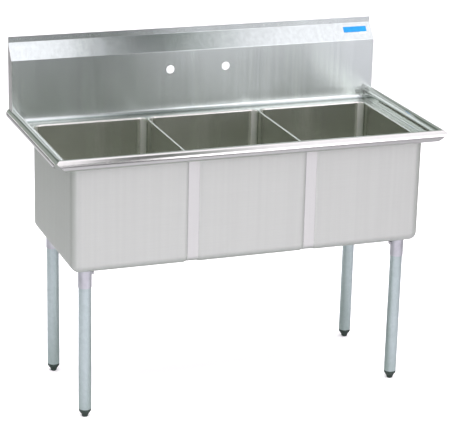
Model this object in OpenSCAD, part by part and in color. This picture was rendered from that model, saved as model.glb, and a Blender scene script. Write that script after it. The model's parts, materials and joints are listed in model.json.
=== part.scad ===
// Free-standing three compartment sink: three welded bowls under one deck with a rolled rim, a sloped
// backsplash against the wall, four tube legs on screw feet and a basket strainer in every bowl.
// +X is to the right, +Y points to the wall and Z = 0 is the floor.

/* [Overall] */
// Length over the rolled rims
overall_l = 1346.2; // [1300:0.1:1400]
// Depth from the front roll to the wall
overall_d = 655.6; // [640:0.1:690]
// Height of the top of the backsplash above the floor
overall_h = 1162; // [1130:1:1200]
// Height of the top of the rolled rim above the floor
rim_h = 914.4; // [880:0.1:940]
// Thickness of all stainless sheet
sheet_t = 1.2; // [1:0.1:2]

/* [Rim and deck] */
// Outside radius of the rolled edge
roll_r = 19.05; // [16:0.05:20]
// Angle of roll past the outermost point
roll_past = 70; // [30:1:80]
// Bend radius between the deck and the rim
rim_bend_r = 4; // [3:0.5:6]
// Flat deck left in front of the bowls
front_ledge = 2; // [1:0.5:6]
// Length of skirt trimmed off each end of the front roll
front_trim = 38; // [20:1:50]
// Length of skirt trimmed off the front end of each side roll
side_trim = 64; // [30:1:90]

/* [Bowls] */
// Inside width of one bowl
bowl_w = 400; // [380:1:401]
// Inside length of one bowl, front to back
bowl_d = 508; // [480:1:510]
// Depth from the deck to the bowl floor
bowl_depth = 355.6; // [300:0.1:380]
// Distance between bowl centres
bowl_pitch = 406.4; // [404:0.1:407]
// Inside radius of the vertical corners
corner_r = 30; // [28:1:36]
// Inside radius between walls and floor
floor_r = 25; // [20:1:28]
// Radius of the lip between bowl and deck
lip_r = 6; // [4:0.5:7]
// Width of the strips that close the gaps between bowls
strip_w = 37; // [34:1:37]
// How far the strips sit behind the bowl faces
strip_recess = 2.4; // [2:0.1:2.4]

/* [Backsplash] */
// Depth of the sloped return
return_d = 44.5; // [40:0.5:50]
// Rise of the sloped return
return_rise = 53; // [45:1:60]
// Height of the vertical tile edge
tile_edge = 20; // [18:1:24]
// Inside radius of the folds at the foot and the head of the slope
fold_r = 1.8; // [1:0.1:3]
// Cove radius between deck and backsplash
cove_r = 12.7; // [10:0.1:14]
// How far the backsplash ends stand in from the rims
splash_inset = 10; // [8:1:12]
// Distance between the faucet holes
faucet_spacing = 203.2; // [200:0.1:210]
// Diameter of the faucet holes
faucet_hole_d = 28.6; // [25:0.1:32]
// Height of the faucet holes above the rim
faucet_up = 111; // [90:1:125]

/* [Name plate] */
// Length of the plain name plate
plate_l = 88; // [60:1:100]
// Height of the plain name plate
plate_h = 22; // [18:1:26]
// Distance from the plate to the right end of the backsplash
plate_in = 20; // [15:1:60]

/* [Legs and feet] */
// Outside diameter of the leg tube
leg_od = 41.3; // [38:0.1:42]
// Wall thickness of the leg tube
leg_wall = 1.6; // [1.2:0.1:2]
// Distance from bowl faces to leg axes
leg_inset = 55; // [52:1:60]
// Length of the leg sockets
socket_l = 64; // [50:1:80]
// Outside diameter of the leg sockets
socket_od = 45; // [44.8:0.1:46]
// Height of the foot below the leg tube
foot_h = 28; // [24:1:32]
// Travel of the foot screw
foot_travel = 25.4; // [20:0.1:30]
// Radius of the foot screw
foot_screw_r = 6; // [5:0.5:7]

/* [Drains] */
// Radius of the drain hole in the bowl floor
drain_r = 45; // [44.5:0.1:46]
// Radius of the pressed recess around the drain
recess_r = 60; // [59:0.5:66]
// Depth of the pressed recess
recess_h = 5; // [4:0.5:6]
// Outside radius of the strainer cup
cup_r = 44; // [43:0.1:44]
// Depth of the strainer cup
cup_h = 46; // [42:1:50]
// Outside radius of the threaded outlet
outlet_r = 23.8; // [22:0.1:24]
// Inside radius of the outlet
outlet_bore_r = 19.6; // [18:0.1:20]
// Length of the threaded outlet
outlet_l = 22; // [18:1:26]

/* [Hidden] */
$fn = 64;

stainless = [0.80, 0.82, 0.82];
bright_steel = [0.86, 0.87, 0.88];
galvanized = [0.66, 0.70, 0.74];
dark_plastic = [0.18, 0.21, 0.20];
black_rubber = [0.07, 0.07, 0.07];

// Levels
deck_z = rim_h - 2 * roll_r;
floor_z = deck_z - bowl_depth;
underside_z = floor_z - sheet_t;
roll_z = rim_h - roll_r;

// Rim positions: the faces that look at the bowls, and the roll centres
rim_face_x = overall_l / 2 - 2 * roll_r;
rim_face_y = -overall_d / 2 + 2 * roll_r;
roll_x = overall_l / 2 - roll_r;

// Bowl positions
bowl_front_y = rim_face_y + rim_bend_r + front_ledge + lip_r;
bowl_rear_y = bowl_front_y + bowl_d;
bowl_y = (bowl_front_y + bowl_rear_y) / 2;
bowl_half_l = bowl_pitch + bowl_w / 2;

// Backsplash levels
riser_y = overall_d / 2 - return_d;
wall_y = overall_d / 2;
slope_top_z = overall_h - tile_edge;
riser_top_z = slope_top_z - return_rise;
slope_run = return_d - sheet_t;
slope_angle = atan2(return_rise, slope_run);
slope_l = sqrt(return_rise * return_rise + slope_run * slope_run);
splash_half_l = overall_l / 2 - splash_inset;
fold_steps = 5;
// Height at which the inner face of an end cap lands on the side roll
cap_land_x = splash_half_l - sheet_t - roll_x;
cap_low_z = roll_z + sqrt(roll_r * roll_r - cap_land_x * cap_land_x);

// Legs
leg_x = bowl_half_l + sheet_t - leg_inset;
leg_front_y = bowl_front_y - sheet_t + leg_inset;
leg_rear_y = bowl_rear_y + sheet_t - leg_inset;
running = 0.3;
socket_plate_t = 3;
leg_low_z = foot_h + running;
leg_high_z = underside_z - socket_plate_t;
bush_h = 40;
stem_h = 50;
screw_z = underside_z - 18;

// Drains
recess_z = floor_z - recess_h;
flange_t = 2;
flange_r = recess_r - 3;
cup_wall = 1.5;
cup_floor_z = recess_z - cup_h;
outlet_z = cup_floor_z - sheet_t - outlet_l;
gasket_t = 3;
washer_t = 1;
nut_h = 9;
nut_r = 58;
basket_r = 40.5;
basket_low_r = 34;
basket_t = 1;
basket_h = 34;
stopper_r = 28;
stopper_t = 4;
stopper_z = cup_floor_z + 2 + running;
basket_z = stopper_z + stopper_t;
post_r = 3;
knob_r = 8;
post_h = 34;

// ---------- Shared shapes ----------

// Part of a ring between two angles that are less than 180 degrees apart
module ring_sector(r_out, r_in, from, to) {
  intersection() {
    difference() {
      circle(r_out);
      circle(r_in);
    }
    polygon([[0, 0], for (a = [from, (from + to) / 2, to]) 3 * r_out * [cos(a), sin(a)]]);
  }
}

// Rectangle with true round corners, centred
module rounded_rectangle(w, d, r) {
  square([w - 2 * r, d], center = true);
  square([w, d - 2 * r], center = true);
  for (sx = [-1, 1], sy = [-1, 1])
    translate([sx * (w / 2 - r), sy * (d / 2 - r)]) circle(r);
}

// Ring between two radii
module ring(r_out, r_in, h) {
  difference() {
    cylinder(r = r_out, h = h);
    translate([0, 0, -1]) cylinder(r = r_in, h = h + 2);
  }
}

// Profile in X and Z, drawn along Y
module along_y(length) {
  rotate([90, 0, 0]) linear_extrude(length, center = true) children();
}

// Profile whose first axis points to +Y and second to +Z, drawn along X
module along_x(length) {
  rotate([90, 0, 90]) linear_extrude(length, center = true) children();
}

// ---------- Rim and deck ----------

// Section of the rim: bend up from the deck, inner wall, roll over the top and curl under
module rim_profile() {
  wall_low = deck_z + rim_bend_r;
  curl_end = 2 * roll_r * [cos(roll_past), -sin(roll_past)];
  translate([-rim_bend_r, wall_low]) ring_sector(rim_bend_r + sheet_t, rim_bend_r, -90, 0);
  translate([0, wall_low]) square([sheet_t, roll_z - wall_low]);
  translate([roll_r, roll_z]) difference() {
    circle(roll_r);
    circle(roll_r - sheet_t);
    polygon([[0, 0], [-2 * roll_r, 0], [-2 * roll_r, -3 * roll_r], [curl_end[0], -3 * roll_r], curl_end]);
  }
}

// Plan of the strip that holds one rim, mitred at 45 degrees
module mitre_plan(half_l, reach) {
  polygon([[-half_l, 0], [half_l, 0], [half_l - reach, reach], [-half_l + reach, reach]]);
}

module front_rim() {
  reach = 2 * roll_r + rim_bend_r;
  color(stainless) difference() {
    intersection() {
      translate([0, rim_face_y, 0]) mirror([0, 1, 0]) along_x(overall_l + 2) rim_profile();
      translate([0, -overall_d / 2, deck_z - 5])
        linear_extrude(2 * roll_r + 10) mitre_plan(overall_l / 2, reach);
    }
    for (s = [-1, 1]) scale([s, 1, 1]) front_skirt_trim();
  }
}

// Wedge that trims the right end of the front skirt, from the tip of the crown down
module front_skirt_trim() {
  x_end = overall_l / 2;
  translate([0, rim_face_y - roll_r - 25, 0]) along_y(50)
    polygon([[x_end - front_trim, deck_z - 2], [x_end + 2, rim_h - 3], [x_end + 2, deck_z - 2]]);
}

module side_rim(s) {
  reach = 2 * roll_r + rim_bend_r;
  color(stainless) scale([s, 1, 1]) difference() {
    intersection() {
      translate([rim_face_x, 0, 0]) along_y(overall_d + 2) rim_profile();
      translate([0, 0, deck_z - 5]) linear_extrude(2 * roll_r + 10) polygon([
        [overall_l / 2, -overall_d / 2],
        [overall_l / 2, wall_y],
        [overall_l / 2 - reach, wall_y],
        [overall_l / 2 - reach, -overall_d / 2 + reach]
      ]);
    }
    side_skirt_trim();
    translate([rim_face_x - 20, riser_y - cove_r, deck_z - 10]) cube([20, 100, 20]);
  }
}

// Wedge that trims the front end of the right side skirt
module side_skirt_trim() {
  y_end = -overall_d / 2;
  translate([roll_x + 26, 0, 0]) along_x(50)
    polygon([[y_end + side_trim, deck_z - 2], [y_end - 2, rim_h - 3], [y_end - 2, deck_z - 2]]);
}

module sink_deck() {
  half_l = rim_face_x - rim_bend_r;
  front_y = rim_face_y + rim_bend_r;
  rear_y = riser_y - cove_r;
  color(stainless) translate([0, 0, deck_z - sheet_t]) linear_extrude(sheet_t) difference() {
    translate([-half_l, front_y]) square([2 * half_l, rear_y - front_y]);
    for (i = [-1:1])
      translate([i * bowl_pitch, bowl_y])
        rounded_rectangle(bowl_w + 2 * lip_r, bowl_d + 2 * lip_r, corner_r + lip_r);
  }
}

// ---------- Bowls ----------

// Section of a bowl wall: 0 is the water side of the wall and the top of the floor
module bowl_profile() {
  translate([lip_r, bowl_depth - lip_r]) ring_sector(lip_r, lip_r - sheet_t, 90, 180);
  translate([0, floor_r]) square([sheet_t, bowl_depth - lip_r - floor_r]);
  translate([-floor_r, floor_r]) ring_sector(floor_r + sheet_t, floor_r, -90, 0);
  translate([-corner_r, -sheet_t]) square([corner_r - floor_r, sheet_t]);
}

// Four straight walls, four swept corners and the middle of the floor
module bowl_shell() {
  half_w = bowl_w / 2;
  half_d = bowl_d / 2;
  for (s = [-1, 1]) {
    scale([s, 1, 1]) translate([half_w, 0, 0]) along_y(bowl_d - 2 * corner_r) bowl_profile();
    scale([1, s, 1]) translate([0, half_d, 0]) along_x(bowl_w - 2 * corner_r) bowl_profile();
  }
  for (a = [0, 90, 180, 270]) {
    sx = sign(cos(a + 45));
    sy = sign(sin(a + 45));
    translate([sx * (half_w - corner_r), sy * (half_d - corner_r), 0]) rotate([0, 0, a])
      rotate_extrude(angle = 90) translate([corner_r, 0]) bowl_profile();
  }
  translate([0, 0, -sheet_t / 2]) cube([bowl_w - 2 * corner_r, bowl_d - 2 * corner_r, sheet_t], center = true);
}

// Pressed recess around the drain hole
module drain_recess() {
  rotate_extrude() polygon([
    [drain_r, -recess_h - sheet_t],
    [recess_r + sheet_t, -recess_h - sheet_t],
    [recess_r + sheet_t, 0],
    [recess_r, 0],
    [recess_r, -recess_h],
    [drain_r, -recess_h]
  ]);
}

// i is -1, 0 or 1. Lips of neighbouring bowls are cut where they meet, which leaves a thin ridge.
module bowl(i) {
  lip_reach = bowl_w / 2 + lip_r + 5;
  left = i > -1 ? bowl_pitch / 2 : lip_reach;
  right = i < 1 ? bowl_pitch / 2 : lip_reach;
  color(stainless) translate([i * bowl_pitch, bowl_y, floor_z]) {
    difference() {
      intersection() {
        bowl_shell();
        translate([-left, -bowl_d, -20]) cube([left + right, 2 * bowl_d, bowl_depth + 40]);
      }
      translate([0, 0, -10]) cylinder(r = recess_r + sheet_t / 2, h = 20);
    }
    drain_recess();
  }
}

// Section of a closing strip: upright part and a part of the bend under the bowl
module strip_profile() {
  face = sheet_t - strip_recess;
  bend_r = floor_r + face;
  translate([face - sheet_t, floor_r]) square([sheet_t, bowl_depth - lip_r - 0.6 - floor_r]);
  translate([-floor_r, floor_r]) ring_sector(bend_r, bend_r - sheet_t, -60, 0);
}

// x_side is -1 or 1 for the left or right gap; y_side is -1 for the front and 1 for the rear
module closing_strip(x_side, y_side) {
  color(stainless)
    translate([x_side * bowl_pitch / 2, bowl_y, floor_z])
      scale([1, y_side, 1]) translate([0, bowl_d / 2, 0]) along_x(strip_w) strip_profile();
}

// ---------- Backsplash ----------

// Points along an arc
function arc(centre, r, from, to) =
  [for (i = [0:fold_steps]) centre + r * [cos(from + (to - from) * i / fold_steps), sin(from + (to - from) * i / fold_steps)]];

// Cove, then one strip of sheet up the riser, back over the slope and up the tile edge
module splash_profile() {
  outer_r = fold_r + sheet_t;
  set_back = tan((90 - slope_angle) / 2);
  low_centre = [riser_y + outer_r, riser_top_z - outer_r * set_back];
  high_centre = [wall_y - sheet_t - fold_r, slope_top_z + fold_r * set_back];
  translate([riser_y - cove_r, deck_z + cove_r]) ring_sector(cove_r + sheet_t, cove_r, -90, 0);
  polygon(concat(
    [[riser_y, deck_z + cove_r], [riser_y + sheet_t, deck_z + cove_r]],
    arc(low_centre, fold_r, 180, 90 + slope_angle),
    arc(high_centre, outer_r, slope_angle - 90, 0),
    [[wall_y, overall_h], [wall_y - sheet_t, overall_h]],
    arc(high_centre, fold_r, 0, slope_angle - 90),
    arc(low_centre, outer_r, 90 + slope_angle, 180)
  ));
}

module backsplash() {
  half_l = splash_half_l - sheet_t;
  color(stainless) difference() {
    along_x(2 * half_l) splash_profile();
    for (s = [-1, 1]) scale([s, 1, 1]) {
      translate([rim_face_x, riser_y - 40, deck_z - 10]) cube([60, 80, roll_z - deck_z + 10]);
      translate([roll_x, riser_y + 40, roll_z]) rotate([90, 0, 0]) cylinder(r = roll_r, h = 80);
    }
    for (s = [-1, 1])
      translate([s * faucet_spacing / 2, riser_y + 20, rim_h + faucet_up])
        rotate([90, 0, 0]) cylinder(d = faucet_hole_d, h = 40);
  }
}

module end_cap(s) {
  color(stainless) scale([s, 1, 1]) translate([splash_half_l - sheet_t / 2, 0, 0]) along_x(sheet_t) polygon([
    [riser_y, cap_low_z],
    [riser_y, riser_top_z],
    [wall_y - sheet_t, slope_top_z],
    [wall_y, slope_top_z],
    [wall_y, cap_low_z]
  ]);
}

module name_plate() {
  along = slope_l * 0.62;
  color([0.0, 0.55, 0.85])
    translate([splash_half_l - plate_in - plate_l / 2, riser_y, riser_top_z])
      rotate([slope_angle, 0, 0]) translate([0, along, 0.3]) difference() {
        cube([plate_l, plate_h, 0.6], center = true);
        for (sx = [-1, 1], sy = [-1, 1])
          translate([sx * plate_l / 2, sy * plate_h / 2, 0]) rotate([0, 0, 45]) cube([2, 2, 2], center = true);
      }
}

// ---------- Legs and feet ----------

module at_leg(x_side, y) {
  translate([x_side * leg_x, y, 0]) children();
}

module leg_socket(x_side, y) {
  r_in = leg_od / 2 + running;
  color(bright_steel) at_leg(x_side, y) difference() {
    translate([0, 0, underside_z - socket_l]) cylinder(d = socket_od, h = socket_l);
    translate([0, 0, underside_z - socket_l - 1]) cylinder(r = r_in, h = socket_l - socket_plate_t + 1);
    translate([0, 0, screw_z]) rotate([0, -90 * x_side, 0]) cylinder(r = 4, h = 60);
  }
}

// Hex headed set screws, which point at the middle of the sink
module socket_screws() {
  color(bright_steel) for (x_side = [-1, 1], y = [leg_front_y, leg_rear_y])
    at_leg(x_side, y) translate([0, 0, screw_z]) rotate([0, -90 * x_side, 0]) {
      translate([0, 0, leg_od / 2]) cylinder(r = 3.9, h = 5);
      translate([0, 0, leg_od / 2 + 4]) cylinder(r = 6.5, h = 5, $fn = 6);
    }
}

module leg(x_side, y) {
  color(galvanized) at_leg(x_side, y) translate([0, 0, leg_low_z])
    ring(leg_od / 2, leg_od / 2 - leg_wall, leg_high_z - leg_low_z);
}

// Threaded bush pressed into the lower end of a leg
module leg_bush(x_side, y) {
  color(bright_steel) at_leg(x_side, y) translate([0, 0, leg_low_z])
    ring(leg_od / 2 - leg_wall, foot_screw_r + running, bush_h);
}

// Bullet foot with its screw
module foot(x_side, y) {
  top_r = leg_od / 2 - 0.4;
  color(dark_plastic) at_leg(x_side, y) rotate_extrude() polygon([
    [0, 0],
    [9, 0],
    [10, 1.2],
    [11.5, 8],
    [top_r, foot_h - 7],
    [top_r, foot_h],
    [foot_screw_r, foot_h],
    [foot_screw_r, foot_h + stem_h - 1.5],
    [foot_screw_r - 1.5, foot_h + stem_h],
    [0, foot_h + stem_h]
  ]);
}

// ---------- Drains ----------

module at_drain(i) {
  translate([i * bowl_pitch, bowl_y, 0]) children();
}

// Flange in the recess, straight cup and threaded outlet
module strainer_body(i) {
  color(bright_steel) at_drain(i) rotate_extrude() polygon([
    [outlet_bore_r, outlet_z],
    [outlet_r, outlet_z],
    [outlet_r, cup_floor_z],
    [cup_r, cup_floor_z],
    [cup_r, recess_z],
    [flange_r, recess_z],
    [flange_r, recess_z + 1],
    [flange_r - 1, recess_z + flange_t],
    [cup_r - cup_wall + 1, recess_z + flange_t],
    [cup_r - cup_wall, recess_z + flange_t - 1],
    [cup_r - cup_wall, cup_floor_z + 2],
    [outlet_bore_r, cup_floor_z + 2]
  ]);
}

module strainer_gasket(i) {
  color(black_rubber) at_drain(i) translate([0, 0, recess_z - sheet_t - gasket_t])
    ring(nut_r - 1, cup_r, gasket_t);
}

module slip_washer(i) {
  color([0.75, 0.68, 0.55]) at_drain(i) translate([0, 0, recess_z - sheet_t - gasket_t - washer_t])
    ring(nut_r - 2, cup_r, washer_t);
}

// Ring nut with six lugs
module strainer_nut(i) {
  color([0.72, 0.62, 0.40]) at_drain(i)
    translate([0, 0, recess_z - sheet_t - gasket_t - washer_t - nut_h]) difference() {
      union() {
        cylinder(r = nut_r - 6, h = nut_h);
        translate([0, 0, nut_h - 2]) cylinder(r = nut_r, h = 2);
        for (a = [0:60:300]) rotate([0, 0, a]) translate([nut_r - 9, -4, 0]) cube([9, 8, nut_h]);
      }
      translate([0, 0, -1]) cylinder(r = cup_r, h = nut_h + 2);
    }
}

// Perforated cup that catches waste
module basket(i) {
  color(bright_steel) at_drain(i) translate([0, 0, basket_z]) difference() {
    rotate_extrude() polygon([
      [0, 0],
      [basket_low_r, 0],
      [basket_r - 1, basket_h - 1],
      [basket_r + 0.6, basket_h - 1],
      [basket_r + 0.6, basket_h],
      [basket_r - basket_t - 1, basket_h],
      [basket_low_r - basket_t, basket_t],
      [0, basket_t]
    ]);
    translate([0, 0, -1]) cylinder(r = post_r, h = 5);
    for (k = [0:5]) rotate([0, 0, 60 * k]) translate([12, 0, -1]) cylinder(r = 2.5, h = 4);
    for (k = [0:11]) rotate([0, 0, 30 * k]) translate([24, 0, -1]) cylinder(r = 2.5, h = 4);
    for (k = [0:11]) rotate([0, 0, 30 * k + 15]) translate([25, -1.5, 8]) cube([20, 3, 16]);
  }
}

// Post with a round knob, fixed through the basket floor
module basket_post(i) {
  color(bright_steel) at_drain(i) translate([0, 0, basket_z]) rotate_extrude() polygon([
    [0, 0],
    [post_r, 0],
    [post_r, post_h - 6],
    [knob_r, post_h - 4],
    [knob_r, post_h - 1],
    [knob_r - 1, post_h],
    [0, post_h]
  ]);
}

// Rubber disc under the basket that closes the outlet
module basket_stopper(i) {
  color(black_rubber) at_drain(i) translate([0, 0, stopper_z]) rotate_extrude() polygon([
    [0, 0],
    [stopper_r - 2, 0],
    [stopper_r, 1.5],
    [stopper_r, stopper_t - 1],
    [stopper_r - 3, stopper_t],
    [0, stopper_t]
  ]);
}

sink_deck();
front_rim();
side_rim(-1);  // left_rim
side_rim(1);  // right_rim
backsplash();
end_cap(-1);  // left_end_cap
end_cap(1);  // right_end_cap
name_plate();
bowl(-1);  // bowl_left
bowl(0);  // bowl_middle
bowl(1);  // bowl_right
closing_strip(-1, -1);  // front_strip_left
closing_strip(1, -1);  // front_strip_right
closing_strip(-1, 1);  // rear_strip_left
closing_strip(1, 1);  // rear_strip_right
leg_socket(-1, leg_front_y);  // socket_front_left
leg_socket(1, leg_front_y);  // socket_front_right
leg_socket(-1, leg_rear_y);  // socket_rear_left
leg_socket(1, leg_rear_y);  // socket_rear_right
socket_screws();
leg(-1, leg_front_y);  // leg_front_left
leg(1, leg_front_y);  // leg_front_right
leg(-1, leg_rear_y);  // leg_rear_left
leg(1, leg_rear_y);  // leg_rear_right
leg_bush(-1, leg_front_y);  // bush_front_left
leg_bush(1, leg_front_y);  // bush_front_right
leg_bush(-1, leg_rear_y);  // bush_rear_left
leg_bush(1, leg_rear_y);  // bush_rear_right
foot(-1, leg_front_y);  // foot_front_left
foot(1, leg_front_y);  // foot_front_right
foot(-1, leg_rear_y);  // foot_rear_left
foot(1, leg_rear_y);  // foot_rear_right
strainer_body(-1);  // strainer_body_left
strainer_body(0);  // strainer_body_middle
strainer_body(1);  // strainer_body_right
strainer_gasket(-1);  // strainer_gasket_left
strainer_gasket(0);  // strainer_gasket_middle
strainer_gasket(1);  // strainer_gasket_right
slip_washer(-1);  // slip_washer_left
slip_washer(0);  // slip_washer_middle
slip_washer(1);  // slip_washer_right
strainer_nut(-1);  // strainer_nut_left
strainer_nut(0);  // strainer_nut_middle
strainer_nut(1);  // strainer_nut_right
basket(-1);  // basket_left
basket(0);  // basket_middle
basket(1);  // basket_right
basket_post(-1);  // basket_post_left
basket_post(0);  // basket_post_middle
basket_post(1);  // basket_post_right
basket_stopper(-1);  // basket_stopper_left
basket_stopper(0);  // basket_stopper_middle
basket_stopper(1);  // basket_stopper_right
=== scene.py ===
"""Looks of the three compartment sink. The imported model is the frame. This script adds materials, weld beads,
threads, a blank label, the studio and the camera, and moves nothing."""

import math
import random

import bmesh
import bpy
from mathutils import Matrix, Vector
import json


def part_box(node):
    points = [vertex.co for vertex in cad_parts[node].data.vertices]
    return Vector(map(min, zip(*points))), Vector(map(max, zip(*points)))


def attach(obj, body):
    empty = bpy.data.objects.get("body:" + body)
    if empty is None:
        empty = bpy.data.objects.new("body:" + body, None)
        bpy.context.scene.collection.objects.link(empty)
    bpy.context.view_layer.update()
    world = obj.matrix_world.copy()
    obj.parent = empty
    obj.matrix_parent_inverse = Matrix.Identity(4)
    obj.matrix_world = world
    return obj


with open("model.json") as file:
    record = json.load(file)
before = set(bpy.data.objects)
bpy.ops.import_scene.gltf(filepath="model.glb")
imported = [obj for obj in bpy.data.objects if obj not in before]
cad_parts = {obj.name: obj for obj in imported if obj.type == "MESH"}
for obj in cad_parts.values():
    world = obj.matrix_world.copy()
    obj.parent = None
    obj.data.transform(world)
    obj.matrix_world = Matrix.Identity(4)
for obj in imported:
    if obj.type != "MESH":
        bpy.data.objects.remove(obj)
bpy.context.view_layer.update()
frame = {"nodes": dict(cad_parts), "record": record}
MM = 0.001
SIDES = ("left", "middle", "right")
CORNERS = ("front_left", "front_right", "rear_left", "rear_right")
FIXED_BODY = "sink"


# ---------- Camera ----------

CAMERA_TURN = math.radians(-20.47)
CAMERA_TILT = math.radians(18.65)
CAMERA_ROLL = math.radians(1.42)
CAMERA_DISTANCE = 6.369
CAMERA_AIM = Vector((0.008, -0.048, 0.572))
CAMERA_LENS = 146.9


def make_camera():
    """The camera looks down at the front from the sink's left, a little rolled."""
    forward = Vector((
        -math.sin(CAMERA_TURN) * math.cos(CAMERA_TILT),
        math.cos(CAMERA_TURN) * math.cos(CAMERA_TILT),
        -math.sin(CAMERA_TILT),
    ))
    level_right = Vector((math.cos(CAMERA_TURN), math.sin(CAMERA_TURN), 0))
    level_up = level_right.cross(forward)
    right = math.cos(CAMERA_ROLL) * level_right + math.sin(CAMERA_ROLL) * level_up
    up = right.cross(forward)
    data = bpy.data.cameras.new("camera")
    data.lens = CAMERA_LENS
    data.sensor_width = 36
    data.clip_end = 200
    camera = bpy.data.objects.new("camera", data)
    bpy.context.scene.collection.objects.link(camera)
    turn = Matrix((right, up, -forward)).transposed().to_4x4()
    camera.matrix_world = Matrix.Translation(CAMERA_AIM - CAMERA_DISTANCE * forward) @ turn
    bpy.context.scene.camera = camera


# ---------- Shader helpers ----------

class Nodes:
    """Builds a node tree. A value given to an input is either a constant or a socket to link."""

    def __init__(self, tree):
        self.tree = tree
        tree.nodes.clear()

    def add(self, kind, values=None, **settings):
        made = self.tree.nodes.new("ShaderNode" + kind)
        for name, value in settings.items():
            setattr(made, name, value)
        for name, value in (values or {}).items():
            self.put(made.inputs[name], value)
        return made

    def put(self, socket, value):
        if isinstance(value, bpy.types.NodeSocket):
            self.tree.links.new(value, socket)
        else:
            socket.default_value = value

    def math(self, operation, a, b=0.0):
        return self.add("Math", {0: a, 1: b}, operation=operation).outputs[0]

    def vector(self, x=0.0, y=0.0, z=0.0):
        return self.add("CombineXYZ", {0: x, 1: y, 2: z}).outputs[0]

    def ramp(self, value, low, high, out_low=0.0, out_high=1.0):
        """Smooth step from one value to another."""
        values = {"Value": value, "From Min": low, "From Max": high, "To Min": out_low, "To Max": out_high}
        return self.add("MapRange", values, interpolation_type="SMOOTHSTEP").outputs["Result"]

    def stretched(self, coordinates, scale):
        return self.add("Mapping", {"Vector": coordinates, "Scale": scale}).outputs[0]

    def noise(self, coordinates, scale=1.0, detail=2.0, rough=0.5):
        values = {"Vector": coordinates, "Scale": scale, "Detail": detail, "Roughness": rough}
        return self.add("TexNoise", values).outputs[0]

    def mix(self, factor, colour_a, colour_b, blend="MIX"):
        made = self.add("Mix", data_type="RGBA", blend_type=blend)
        self.put(made.inputs[0], factor)
        self.put(made.inputs[6], colour_a)
        self.put(made.inputs[7], colour_b)
        return made.outputs[2]

    def bump(self, height, distance, strength=1.0, normal=None):
        values = {"Height": height, "Distance": distance, "Strength": strength}
        if normal is not None:
            values["Normal"] = normal
        return self.add("Bump", values).outputs[0]


def new_material(name):
    """Returns the material, its node builder and its Principled shader."""
    material = bpy.data.materials.new(name)
    material.use_nodes = True
    nodes = Nodes(material.node_tree)
    shader = nodes.add("BsdfPrincipled")
    nodes.add("OutputMaterial", {"Surface": shader.outputs[0]})
    return material, nodes, shader


def rgb(red, green, blue):
    return (red, green, blue, 1.0)


# ---------- Materials ----------

# How much red, green and blue each kind of steel returns
STEEL = (0.585, 0.612, 0.572)
COOL_STEEL = (0.548, 0.618, 0.586)
DEEP_DRAWN_STEEL = (0.672, 0.695, 0.640)
BRIGHT_STEEL = (0.71, 0.74, 0.70)
# What is left of that on the outside of a bowl, which is dull
OUTER_TINT = (0.93, 0.96, 0.96)
OUTER_ROUGHNESS = 0.5
FOOT_COLOUR = (0.035, 0.055, 0.045)
FOOT_ROUGHNESS = 0.45
# Noise cells per metre across and along the grain
FINE_GRAIN = 900.0
COARSE_GRAIN = 9.0


def scaled(colour, factor):
    return rgb(*(part * factor for part in colour))


def grain_lines(nodes, grain, place, up):
    """Coordinates that stretch noise into grain lines, and the way in which grain smears reflections."""
    x, y, z = nodes.add("SeparateXYZ", {0: place}).outputs
    along_x = nodes.math("MULTIPLY", x, COARSE_GRAIN)
    along_y = nodes.math("MULTIPLY", y, COARSE_GRAIN)
    smear = (0.0, 0.02, 1.0)
    if grain == "X":
        across = nodes.math("ADD", y, z)
        along_y = 0.0
    elif grain == "Y":
        across = nodes.math("ADD", x, z)
        along_x = 0.0
        smear = (0.02, 0.0, 1.0)
    else:
        across = nodes.math("ADD", nodes.math("MULTIPLY", y, nodes.math("MULTIPLY", up, up)), z)
    return nodes.vector(along_x, along_y, nodes.math("MULTIPLY", across, FINE_GRAIN)), smear


def heat_mark(nodes, place, tone, colour, weld):
    """Darkens the sheet round a weld, given as the spot, the mark's reach and its share at the middle."""
    spot, reach, depth = weld
    near = nodes.add("VectorMath", {0: place, 1: spot}, operation="DISTANCE").outputs["Value"]
    ragged = nodes.noise(place, scale=70.0, detail=5.0, rough=0.7)
    edge = nodes.math("ADD", near, nodes.ramp(ragged, 0.3, 0.7, -0.5 * reach, 0.5 * reach))
    return nodes.mix(nodes.ramp(edge, 0.4 * reach, reach, depth, 0.0), tone, scaled(colour, 0.4))


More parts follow.
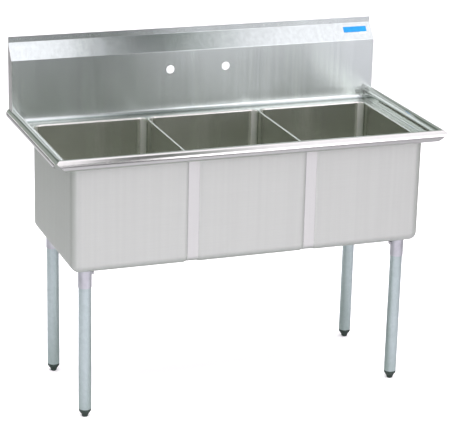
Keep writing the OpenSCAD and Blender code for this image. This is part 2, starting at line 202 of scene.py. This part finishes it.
def sheet_steel(name, grain, roughness=0.18, upright_roughness=None, anisotropy=0.6, waviness=0.5,
                colour=STEEL, bowl=False, streaking=0.015, grit=1.0, welds=()):
    """Brushed stainless sheet. grain is "X", "Y" or "level", the last for bowls, whose grain runs round the
    walls. A bowl is dull outside and has ground, duller corners inside, whose colour is lightened as a
    painted highlight. welds are heat marks on the sheet."""
    material, nodes, shader = new_material(name)
    place = nodes.add("TexCoord").outputs["Object"]
    facing = nodes.add("NewGeometry").outputs["True Normal"]
    across_x, across_y, up = nodes.add("SeparateXYZ", {0: facing}).outputs
    lines, smear = grain_lines(nodes, grain, place, up)
    scratches = nodes.noise(lines, detail=3.0, rough=0.6)
    streaks = nodes.noise(nodes.stretched(place, (75.0, 75.0, 0.9)), detail=3.0)
    cloud = nodes.noise(place, scale=5.0, detail=2.0)
    smudges = nodes.noise(place, scale=11.0, detail=4.0, rough=0.55)
    dim, bright = scaled(colour, 1 - streaking), scaled(colour, 1 + streaking)
    tone = nodes.mix(nodes.ramp(streaks, 0.3, 0.7), dim, bright)
    tone = nodes.mix(nodes.ramp(scratches, 0.35, 0.7, 0.0, 0.25), tone, scaled(colour, 0.93))
    tone = nodes.mix(nodes.ramp(smudges, 0.55, 0.8, 0.0, 0.35), tone, scaled(colour, 0.94))
    scratched = nodes.ramp(scratches, 0.25, 0.75, -0.012 * grit, 0.015 * grit)
    spread = nodes.math("ADD", scratched, nodes.ramp(cloud, 0.3, 0.7, -0.01, 0.01))
    for weld in welds:
        tone = heat_mark(nodes, place, tone, colour, weld)
    if bowl:
        # Painted highlight: the corners' colour is lightened to stand in for their bright reflections, while
        # the added roughness is their ground finish
        corner = nodes.ramp(nodes.math("ABSOLUTE", nodes.math("MULTIPLY", across_x, across_y)), 0.25, 0.48)
        tone = nodes.mix(nodes.math("MULTIPLY", corner, 0.7), tone, scaled(colour, 1.2))
        outside = nodes.ramp(outside_of_bowl(nodes, place), -0.01, 0.01)
        tone = nodes.mix(outside, tone, rgb(*OUTER_TINT), blend="MULTIPLY")
        inner = nodes.math("ADD", nodes.math("MULTIPLY", corner, 0.22), roughness)
        base = nodes.add("Mix", {0: outside, 2: inner, 3: OUTER_ROUGHNESS}).outputs[0]
    elif upright_roughness:
        base = nodes.ramp(up, 0.3, 0.5, upright_roughness, roughness)
    else:
        base = roughness
    nodes.put(shader.inputs["Base Color"], tone)
    shader.inputs["Metallic"].default_value = 1.0
    shader.inputs["Anisotropic"].default_value = anisotropy
    nodes.put(shader.inputs["Tangent"], nodes.vector(*smear))
    nodes.put(shader.inputs["Roughness"], nodes.math("ADD", spread, base))
    normal = nodes.bump(cloud, 2.5 * MM * waviness)
    normal = nodes.bump(streaks, 0.006 * MM * waviness, normal=normal)
    normal = nodes.bump(scratches, 0.003 * MM * grit, normal=normal)
    nodes.put(shader.inputs["Normal"], normal)
    return material


def outside_of_bowl(nodes, place):
    """Above 0 on the outer faces of a bowl, below 0 on the faces that water touches. It compares the way a
    face looks with the way out from a point 1 m above the middle of its bowl."""
    x, y, z = nodes.add("SeparateXYZ", {0: place}).outputs
    low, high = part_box("bowl_middle")
    centre = (low + high) / 2
    pitch = high.x - low.x
    out_x = nodes.add("Math", {0: x, 1: -pitch / 2, 2: pitch / 2}, operation="WRAP").outputs[0]
    out_y = nodes.math("SUBTRACT", y, centre.y)
    out_z = nodes.math("SUBTRACT", z, high.z + 1.0)
    facing = nodes.add("NewGeometry").outputs["True Normal"]
    both = {0: facing, 1: nodes.vector(out_x, out_y, out_z)}
    return nodes.add("VectorMath", both, operation="DOT_PRODUCT").outputs["Value"]


def galvanized_tube():
    """Drawn tube under a pale, spangled zinc coat."""
    material, nodes, shader = new_material("galvanized_tube")
    place = nodes.add("TexCoord").outputs["Object"]
    drawn = nodes.noise(nodes.stretched(place, (260.0, 260.0, 2.0)), detail=3.0)
    cells = nodes.add("TexVoronoi", {"Vector": place, "Scale": 95.0}, feature="F1").outputs["Color"]
    spangle = nodes.add("SeparateXYZ", {0: cells}).outputs[0]
    cloud = nodes.noise(place, scale=14.0, detail=4.0)
    tone = nodes.mix(nodes.ramp(cloud, 0.3, 0.7), rgb(0.54, 0.65, 0.63), rgb(0.575, 0.685, 0.67))
    tone = nodes.mix(nodes.ramp(spangle, 0.0, 1.0, 0.0, 0.3), tone, rgb(0.495, 0.6, 0.585))
    nodes.put(shader.inputs["Base Color"], tone)
    shader.inputs["Metallic"].default_value = 0.9
    spangled = nodes.ramp(spangle, 0.0, 1.0, 0.34, 0.48)
    spread = nodes.math("ADD", nodes.ramp(drawn, 0.3, 0.7, -0.04, 0.05), spangled)
    nodes.put(shader.inputs["Roughness"], spread)
    nodes.put(shader.inputs["Normal"], nodes.bump(spangle, 0.02 * MM, normal=nodes.bump(drawn, 0.015 * MM)))
    return material


def turned_steel(name, colour, roughness, wear=0.3):
    """Turned, pressed or plated metal with fine rings and small marks."""
    material, nodes, shader = new_material(name)
    place = nodes.add("TexCoord").outputs["Object"]
    rings = nodes.noise(nodes.stretched(place, (30.0, 30.0, 1500.0)), detail=2.0)
    marks = nodes.noise(place, scale=160.0, detail=5.0, rough=0.65)
    cloud = nodes.noise(place, scale=30.0, detail=3.0)
    tone = nodes.mix(nodes.ramp(cloud, 0.3, 0.7), scaled(colour, 0.92), scaled(colour, 1.06))
    tone = nodes.mix(nodes.ramp(marks, 0.55, 0.8, 0.0, wear), tone, scaled(colour, 0.6))
    nodes.put(shader.inputs["Base Color"], tone)
    shader.inputs["Metallic"].default_value = 1.0
    marked = nodes.ramp(marks, 0.3, 0.8, -0.03, 0.1)
    spread = nodes.math("ADD", marked, nodes.ramp(rings, 0.3, 0.7, -0.02, 0.03))
    nodes.put(shader.inputs["Roughness"], nodes.math("ADD", spread, roughness))
    nodes.put(shader.inputs["Normal"], nodes.bump(rings, 0.008 * MM, normal=nodes.bump(marks, 0.02 * MM)))
    return material


def moulded(name, colour, roughness, grain_size=900.0, dust=0.2, dust_colour=(0.42, 0.43, 0.40)):
    """Moulded plastic, rubber or fibre with a fine texture and a little dust."""
    material, nodes, shader = new_material(name)
    place = nodes.add("TexCoord").outputs["Object"]
    texture = nodes.noise(place, scale=grain_size, detail=3.0)
    cloud = nodes.noise(place, scale=45.0, detail=5.0, rough=0.6)
    tone = nodes.mix(nodes.ramp(texture, 0.3, 0.7), scaled(colour, 0.8), scaled(colour, 1.2))
    tone = nodes.mix(nodes.ramp(cloud, 0.5, 0.85, 0.0, dust), tone, rgb(*dust_colour))
    nodes.put(shader.inputs["Base Color"], tone)
    grained = nodes.ramp(texture, 0.3, 0.7, -0.05, 0.06)
    spread = nodes.math("ADD", grained, nodes.ramp(cloud, 0.3, 0.8, 0.0, 0.1))
    nodes.put(shader.inputs["Roughness"], nodes.math("ADD", spread, roughness))
    nodes.put(shader.inputs["Normal"], nodes.bump(texture, 0.05 * MM, normal=nodes.bump(cloud, 0.08 * MM)))
    return material


def enamel_plate():
    """Blue enamelled plate."""
    material, nodes, shader = new_material("enamel_plate")
    place = nodes.add("TexCoord").outputs["Object"]
    cloud = nodes.noise(place, scale=60.0, detail=4.0)
    specks = nodes.noise(place, scale=1400.0, detail=2.0)
    tone = nodes.mix(nodes.ramp(cloud, 0.3, 0.7), rgb(0.0, 0.17, 0.43), rgb(0.0, 0.21, 0.50))
    tone = nodes.mix(nodes.ramp(specks, 0.62, 0.75, 0.0, 0.25), tone, rgb(0.0, 0.13, 0.40))
    nodes.put(shader.inputs["Base Color"], tone)
    shader.inputs["Specular IOR Level"].default_value = 0.3
    nodes.put(shader.inputs["Roughness"], nodes.ramp(cloud, 0.3, 0.7, 0.3, 0.42))
    nodes.put(shader.inputs["Normal"], nodes.bump(cloud, 0.05 * MM))
    return material


def painted_shade_floor(nodes, place):
    """Painted shade on the floor as the steel mirrors it: grey in front and darker to the right, paler behind,
    darker far off and to the sides, and a painted shadow under the sink.
    """
    x, y, z = nodes.add("SeparateXYZ", {0: place}).outputs
    # Painted dark far off in front, as a wedge seen from the sink: x over the distance in front tells its sides
    slant = nodes.math("DIVIDE", x, nodes.math("MULTIPLY", y, -1.0))
    far = nodes.ramp(y, -3.4, -2.7, 1.0, 0.0)
    wedge = nodes.math("MULTIPLY", nodes.ramp(slant, 0.29, 0.36, 1.0, 0.0), far)
    painted_dark_far_off = nodes.math("MULTIPLY", wedge, nodes.ramp(slant, 0.17, 0.25, 0.7, 1.0))
    # Painted dark to the sides of the sink
    to_the_side = nodes.ramp(nodes.math("ABSOLUTE", x), 1.6, 2.2)
    painted_dark_beside = nodes.math("MULTIPLY", to_the_side, nodes.ramp(y, -2.0, -1.4))
    # Painted shadow of the sink on the floor round its middle
    from_middle = {0: nodes.vector(nodes.math("MULTIPLY", x, 0.6), y, 0.0)}
    apart = nodes.add("VectorMath", from_middle, operation="LENGTH").outputs["Value"]
    painted_shadow_beneath = nodes.ramp(apart, 0.3, 0.65, 1.0, 0.0)
    # Painted shade: darker to the right in front, paler behind
    front = nodes.mix(nodes.ramp(x, 0.2, 1.6), rgb(0.46, 0.445, 0.475), rgb(0.38, 0.365, 0.39))
    colour = nodes.mix(nodes.ramp(y, 0.4, 1.6), front, rgb(0.515, 0.51, 0.52))
    for share, shade in ((painted_dark_far_off, 0.06), (painted_dark_beside, 0.18), (painted_shadow_beneath, 0.35)):
        colour = nodes.mix(share, colour, scaled((0.95, 1.0, 0.96), shade))
    return colour


def floor_paint():
    """Pale floor: white to the eye, dimmer in the steel by painted shade, and clear from below, so the
    underside shows.
    """
    material, nodes, shader = new_material("floor_paint")
    place = nodes.add("TexCoord").outputs["Object"]
    seen = nodes.add("LightPath").outputs["Is Camera Ray"]
    cloud = nodes.noise(place, scale=0.8, detail=3.0)
    white = nodes.mix(cloud, rgb(0.95, 0.95, 0.95), rgb(0.97, 0.97, 0.97))
    # Painted shade: every ray but the camera's sees the darker painted floor
    nodes.put(shader.inputs["Base Color"], nodes.mix(seen, painted_shade_floor(nodes, place), white))
    shader.inputs["Emission Color"].default_value = rgb(1.0, 1.0, 1.0)
    nodes.put(shader.inputs["Emission Strength"], nodes.math("MULTIPLY", seen, 0.2))
    shader.inputs["Roughness"].default_value = 0.75
    shader.inputs["Specular IOR Level"].default_value = 0.2
    from_below = nodes.add("NewGeometry").outputs["Backfacing"]
    clear = nodes.add("BsdfTransparent").outputs[0]
    both = nodes.add("MixShader", {0: from_below, 1: shader.outputs[0], 2: clear}).outputs[0]
    output = next(node for node in nodes.tree.nodes if node.type == "OUTPUT_MATERIAL")
    nodes.put(output.inputs["Surface"], both)
    return material


def dress(names, material):
    for name in names:
        for slot in frame["nodes"][name].material_slots:
            slot.material = material


def named(parts, places):
    return [f"{part}_{place}" for part in parts for place in places]


def weld_marks():
    """Heat marks on the backsplash, a little inward of and above the ends of the side rims."""
    left_end, right_end = rim_ends()
    inward = Vector((9 * MM, 0, 0))
    upward = Vector((0, 0, 6 * MM))
    return [
        (left_end + inward + upward, 16 * MM, 0.35),
        (right_end - inward + upward, 30 * MM, 0.75),
    ]


def dress_sheet():
    dress(["front_rim"], sheet_steel("steel_front_rim", "X", roughness=0.13, waviness=0.15))
    dress(["sink_deck"], sheet_steel("steel_deck", "X", roughness=0.14, waviness=0.15))
    dress(["backsplash"], sheet_steel(
        "steel_backsplash", "X", roughness=0.19, upright_roughness=0.21, anisotropy=1.0, waviness=0.12,
        colour=COOL_STEEL, streaking=0.04, grit=0.3, welds=weld_marks(),
    ))
    rim_steel = sheet_steel("steel_side_rims", "Y", roughness=0.1, anisotropy=0.3, waviness=0.15)
    dress(["left_rim", "right_rim"], rim_steel)
    dress(["left_end_cap", "right_end_cap"], sheet_steel("steel_end_caps", "Y", roughness=0.3))
    bowl_steel = sheet_steel(
        "steel_bowls", "level", roughness=0.22, waviness=0.3, colour=DEEP_DRAWN_STEEL, bowl=True,
    )
    dress(named(["bowl"], SIDES), bowl_steel)
    strip_steel = sheet_steel("steel_strips", "X", roughness=0.42, waviness=0.2, colour=BRIGHT_STEEL)
    dress(named(["front_strip", "rear_strip"], ["left", "right"]), strip_steel)
    dress(["name_plate"], enamel_plate())


def dress_legs():
    dress(named(["socket"], CORNERS), turned_steel("socket_steel", (0.63, 0.655, 0.675), 0.38, wear=0.15))
    dress(["socket_screws"], turned_steel("zinc_screws", (0.60, 0.61, 0.62), 0.3))
    dress(named(["bush"], CORNERS), turned_steel("zinc_bushes", (0.58, 0.59, 0.58), 0.35))
    dress(named(["leg"], CORNERS), galvanized_tube())
    dress(named(["foot"], CORNERS), moulded("foot_plastic", FOOT_COLOUR, FOOT_ROUGHNESS))


def dress_drains():
    polished = turned_steel("polished_steel", (0.66, 0.67, 0.66), 0.2, wear=0.1)
    dress(named(["strainer_body", "basket", "basket_post"], SIDES), polished)
    rubber = moulded("black_rubber", (0.02, 0.02, 0.02), 0.55)
    dress(named(["strainer_gasket", "basket_stopper"], SIDES), rubber)
    dress(named(["slip_washer"], SIDES), moulded("slip_fibre", (0.45, 0.33, 0.20), 0.8, grain_size=500.0))
    dress(named(["strainer_nut"], SIDES), turned_steel("cast_nut", (0.55, 0.46, 0.31), 0.42, wear=0.5))


# ---------- Added pieces ----------

def finish_piece(name, shape, material, body=FIXED_BODY):
    """Makes the object and has it ride a CAD body."""
    bmesh.ops.recalc_face_normals(shape, faces=shape.faces)
    mesh = bpy.data.meshes.new(name)
    shape.to_mesh(mesh)
    shape.free()
    mesh.materials.append(material)
    mesh.shade_smooth()
    piece = bpy.data.objects.new(name, mesh)
    bpy.context.scene.collection.objects.link(piece)
    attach(piece, body)


def sweep(shape, rings, closed):
    """Skins a row of rings into a tube, joined end to end or capped."""
    loops = [[shape.verts.new(point) for point in ring] for ring in rings]
    pairs = list(zip(loops, loops[1:] + loops[:1]))
    if not closed:
        pairs.pop()
        shape.faces.new(loops[0])
        shape.faces.new(reversed(loops[-1]))
    for first, second in pairs:
        for i in range(len(first)):
            j = (i + 1) % len(first)
            shape.faces.new((first[i], first[j], second[j], second[i]))


def box_middle(low, high, z=0.0):
    return Vector(((low.x + high.x) / 2, (low.y + high.y) / 2, z))


def weld_bead(shape, path, across, radius, closed=False):
    """A run of weld metal along a path, rippled as a hand-laid bead is, and thin at open ends. across is a
    direction that the path never takes."""
    sides = 8
    rings = []
    for i, point in enumerate(path):
        before = path[i - 1] if closed or i else point
        after = path[(i + 1) % len(path)] if closed or i < len(path) - 1 else point
        along = (after - before).normalized()
        side = across.cross(along).normalized()
        size = radius * (1 + 0.14 * math.sin(i * math.pi / 2) + random.uniform(-0.08, 0.08))
        if not closed:
            size *= min(1.0, 0.35 + 0.3 * i, 0.35 + 0.3 * (len(path) - 1 - i))
        turns = (2 * math.pi * k / sides for k in range(sides))
        rings.append([point + size * (math.cos(a) * side + math.sin(a) * along.cross(side)) for a in turns])
    sweep(shape, rings, closed)


def straight(start, end, step=1.0 * MM):
    """Points about step apart from start to end."""
    count = max(2, round((end - start).length / step))
    return [start.lerp(end, i / count) for i in range(count + 1)]


def circle(centre, radius, step):
    """Points about step apart on a level circle."""
    count = round(2 * math.pi * radius / step)
    turns = (2 * math.pi * i / count for i in range(count))
    return [centre + Vector((radius * math.cos(a), radius * math.sin(a), 0)) for a in turns]


def make_strip_welds(material):
    """Two upright beads along the edges of each strip that joins two bowls."""
    radius = 1.1 * MM
    sunk = 1.2 * MM
    above_curve = 26 * MM
    below_deck = 2 * MM
    for row in ("front", "rear"):
        for side in ("left", "right"):
            low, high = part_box(f"{row}_strip_{side}")
            y = low.y + sunk if row == "front" else high.y - sunk
            shape = bmesh.new()
            for x in (low.x, high.x):
                path = straight(Vector((x, y, low.z + above_curve)), Vector((x, y, high.z - below_deck)))
                weld_bead(shape, path, Vector((0, 1, 0)), radius)
            finish_piece(f"{row}_strip_welds_{side}", shape, material)


def make_socket_welds(material):
    """A ring of weld round each leg socket where it meets the bowl's underside."""
    bead_radius = 1.7 * MM
    stand_off = 0.3 * MM
    below_top = 1.2 * MM
    for corner in CORNERS:
        low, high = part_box("socket_" + corner)
        centre = box_middle(low, high, high.z - below_top)
        ring = circle(centre, (high.x - low.x) / 2 + stand_off, step=1.2 * MM)
        shape = bmesh.new()
        weld_bead(shape, ring, Vector((0, 0, 1)), bead_radius, closed=True)
        finish_piece("socket_weld_" + corner, shape, material)


def rim_ends():
    """Where the inner faces of the left and right rims meet the backsplash, at half the height of the rim."""
    bend = 4 * MM
    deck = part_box("sink_deck")[1]
    riser_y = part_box("left_end_cap")[0].y
    middle = (deck.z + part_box("left_rim")[1].z) / 2
    return [Vector((side * (deck.x + bend), riser_y, middle)) for side in (-1, 1)]


def make_rim_welds(material):
    """An upright bead where each side rim ends on the backsplash."""
    for end, name in zip(rim_ends(), ("left", "right")):
        y = end.y - 0.4 * MM
        foot = Vector((end.x, y, end.z - 5 * MM))
        top = Vector((end.x, y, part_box(name + "_end_cap")[0].z - 10 * MM))
        shape = bmesh.new()
        weld_bead(shape, straight(foot, top), Vector((0, 1, 0)), 1.0 * MM)
        finish_piece("rim_weld_" + name, shape, material)


def thread(shape, centre, radius, depth, pitch, low, high):
    """A screw thread: a ridge of three-sided section wound round a shank, fading out at both ends."""
    steps = 40
    sunk = 0.1 * MM
    half = 0.42 * pitch
    count = round((high - low) / pitch * steps)
    rings = []
    for i in range(count + 1):
        angle = 2 * math.pi * i / steps
        fade = min(1.0, i / steps, (count - i) / steps)
        height = low + pitch * i / steps
        outward = Vector((math.cos(angle), math.sin(angle), 0))
        section = ((-sunk, -half), (depth * fade, 0.0), (-sunk, half))
        rings.append([centre + (radius + r) * outward + Vector((0, 0, height + h)) for r, h in section])
    sweep(shape, rings, closed=False)


def make_outlet_threads(material):
    """The pipe thread on the end of each drain outlet. Its ridge stands proud of the plain CAD cylinder."""
    depth = 0.5 * MM
    pitch = 2.2 * MM
    radii = {mount["name"]: mount["dims"].get("r_mm") for mount in frame["record"]["mounts"]}
    for side in SIDES:
        low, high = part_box("strainer_body_" + side)
        radius = radii["drain_outlet_" + side] * MM
        shape = bmesh.new()
        thread(shape, box_middle(low, high), radius, depth, pitch, low.z + 2.5 * MM, low.z + 19 * MM)
        finish_piece("outlet_thread_" + side, shape, material)


def make_foot_threads(material):
    """The thread on the stem of each foot, from the end of the leg up into the bush."""
    stem_radius = 6 * MM
    depth = 0.25 * MM
    pitch = 1.75 * MM
    clear = 2 * MM
    for corner in CORNERS:
        low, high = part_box("foot_" + corner)
        leg_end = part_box("leg_" + corner)[0].z
        shape = bmesh.new()
        thread(shape, box_middle(low, high), stem_radius, depth, pitch, leg_end + clear, high.z - clear)
        finish_piece("foot_thread_" + corner, shape, material, body="foot_" + corner)


def paper():
    """Plain white label paper under clear film."""
    material, nodes, shader = new_material("label_paper")
    place = nodes.add("TexCoord").outputs["Object"]
    fibre = nodes.noise(place, scale=2500.0, detail=3.0)
    cloud = nodes.noise(place, scale=90.0, detail=3.0)
    nodes.put(shader.inputs["Base Color"], nodes.mix(fibre, rgb(0.80, 0.80, 0.79), rgb(0.88, 0.88, 0.87)))
    nodes.put(shader.inputs["Roughness"], nodes.ramp(cloud, 0.3, 0.7, 0.35, 0.5))
    nodes.put(shader.inputs["Normal"], nodes.bump(fibre, 0.01 * MM))
    return material


def make_label(material):
    """A blank white label, stuck to the slope under the right end of the name plate."""
    width = 25 * MM
    height = 6.5 * MM
    thick = 0.2 * MM
    corner = 1.0 * MM
    from_right_end = 16 * MM
    under_plate = 1.5 * MM
    plate = frame["nodes"]["name_plate"].data
    normal = max(plate.polygons, key=lambda face: face.area).normal.normalized()
    right = Vector((1, 0, 0))
    up = normal.cross(right)
    if up.z < 0:
        up = -up
    spots = [vertex.co for vertex in plate.vertices]
    back = min(spot.dot(normal) for spot in spots)
    lowest = min(spot.dot(up) for spot in spots)
    right_end = max(spot.x for spot in spots)
    centre = (right_end - from_right_end) * right + (lowest - under_plate - height / 2) * up
    outline = []
    for quarter, (sign_x, sign_y) in enumerate(((1, 1), (-1, 1), (-1, -1), (1, -1))):
        for k in range(5):
            turn = quarter * math.pi / 2 + k * math.pi / 8
            along = sign_x * (width / 2 - corner) + corner * math.cos(turn)
            rise = sign_y * (height / 2 - corner) + corner * math.sin(turn)
            outline.append(centre + along * right + rise * up)
    shape = bmesh.new()
    sweep(shape, [[spot + lift * normal for spot in outline] for lift in (back, back + thick)], closed=False)
    finish_piece("blank_label", shape, material)


def make_pieces():
    random.seed(7)
    weld_metal = turned_steel("weld_metal", (0.46, 0.47, 0.46), 0.36, wear=0.25)
    make_strip_welds(weld_metal)
    make_socket_welds(weld_metal)
    make_rim_welds(weld_metal)
    make_outlet_threads(turned_steel("outlet_thread", (0.62, 0.62, 0.60), 0.3))
    make_foot_threads(moulded("thread_plastic", FOOT_COLOUR, FOOT_ROUGHNESS))
    make_label(paper())


# ---------- Studio ----------

def make_floor():
    half = 30.0
    mesh = bpy.data.meshes.new("floor")
    corners = [(-half, -half, 0), (half, -half, 0), (half, half, 0), (-half, half, 0)]
    mesh.from_pydata(corners, [], [(0, 1, 2, 3)])
    floor = bpy.data.objects.new("floor", mesh)
    mesh.materials.append(floor_paint())
    bpy.context.scene.collection.objects.link(floor)


def between(nodes, factor, first, second):
    """first where factor is 0, second where it is 1."""
    rest = nodes.math("SUBTRACT", 1.0, factor)
    return nodes.math("ADD", nodes.math("MULTIPLY", first, rest), nodes.math("MULTIPLY", second, factor))


def front_level(nodes, x, sideways, over):
    """How bright the studio is in front: white, with a dark gap to each side, which the backsplash mirrors
    as a dark band. The gap lies a little further out higher up."""
    aside = nodes.ramp(sideways, 0.42, 0.55, 1.0, 0.45)
    low_outer = nodes.math("MULTIPLY", nodes.ramp(sideways, 0.288, 0.312, 0.0, 3.3), aside)
    low_part = nodes.math("ADD", nodes.ramp(sideways, 0.24, 0.262, 1.5, 0.0), low_outer)
    high_outer = nodes.math("MULTIPLY", nodes.ramp(sideways, 0.295, 0.365, 0.0, 1.6), aside)
    high_part = nodes.math("ADD", nodes.ramp(sideways, 0.256, 0.28, 1.75, 0.0), high_outer)
    front = between(nodes, nodes.ramp(over, 25.0, 40.0), low_part, high_part)
    # The far left is dimmer, or the right rim mirrors it as a white band
    far_left = nodes.math("MULTIPLY", nodes.ramp(x, -0.46, -0.3, 0.6, 0.0), nodes.ramp(over, 14.0, 24.0))
    return nodes.math("MULTIPLY", front, nodes.math("SUBTRACT", 1.0, far_left))


def make_world():
    """A white studio. Directions are told apart by their sideways part and by their angle over the front
    horizon, because grain along X smears reflections up and down but not sideways."""
    world = bpy.data.worlds.new("studio")
    bpy.context.scene.world = world
    world.use_nodes = True
    nodes = Nodes(world.node_tree)
    x, y, z = nodes.add("SeparateXYZ", {0: nodes.add("TexCoord").outputs["Generated"]}).outputs
    sideways = nodes.math("ABSOLUTE", x)
    turned = nodes.math("ARCTAN2", z, nodes.math("MULTIPLY", y, -1.0))
    over = nodes.math("MULTIPLY", turned, 180 / math.pi)
    overhead = nodes.ramp(over, 115.0, 140.0, 1.65, 0.5)
    overhead = nodes.math("MULTIPLY", overhead, nodes.ramp(sideways, 0.12, 0.22, 0.45, 1.0))
    level = between(nodes, nodes.ramp(over, 80.0, 95.0), front_level(nodes, x, sideways, over), overhead)
    # Dim parts are greenish, bright ones a little pink
    tint = nodes.mix(nodes.ramp(level, 0.2, 1.2), rgb(0.88, 1.0, 0.91), rgb(1.05, 0.965, 1.06))
    seen = nodes.add("LightPath").outputs["Is Camera Ray"]
    light = nodes.add("Background", {"Color": tint, "Strength": level})
    backdrop = nodes.add("Background", {"Color": rgb(1.0, 1.0, 1.0), "Strength": 1.0})
    both = nodes.add("MixShader", {0: seen, 1: light.outputs[0], 2: backdrop.outputs[0]})
    nodes.add("OutputWorld", {"Surface": both.outputs[0]})


def soft_box(name, place, aim, width, power):
    """A square area lamp that lights the scene but isn't mirrored in the steel."""
    data = bpy.data.lights.new(name, "AREA")
    data.size = width
    data.energy = power
    lamp = bpy.data.objects.new(name, data)
    lamp.location = place
    lamp.rotation_euler = (Vector(aim) - Vector(place)).to_track_quat("-Z", "Y").to_euler()
    lamp.visible_camera = False
    lamp.visible_glossy = False
    bpy.context.scene.collection.objects.link(lamp)


def make_lights():
    soft_box("overhead_box", place=(0.0, -0.6, 4.0), aim=(0.0, 0.0, 0.6), width=4.0, power=180.0)
    soft_box("left_box", place=(-3.6, -2.6, 2.6), aim=(0.0, 0.0, 0.7), width=1.8, power=45.0)


def set_display():
    view = bpy.context.scene.view_settings
    view.view_transform = "Standard"
    view.look = "None"
    bpy.context.scene.cycles.glossy_bounces = 8


make_camera()
dress_sheet()
dress_legs()
dress_drains()
make_pieces()
make_floor()
make_world()
make_lights()
set_display()
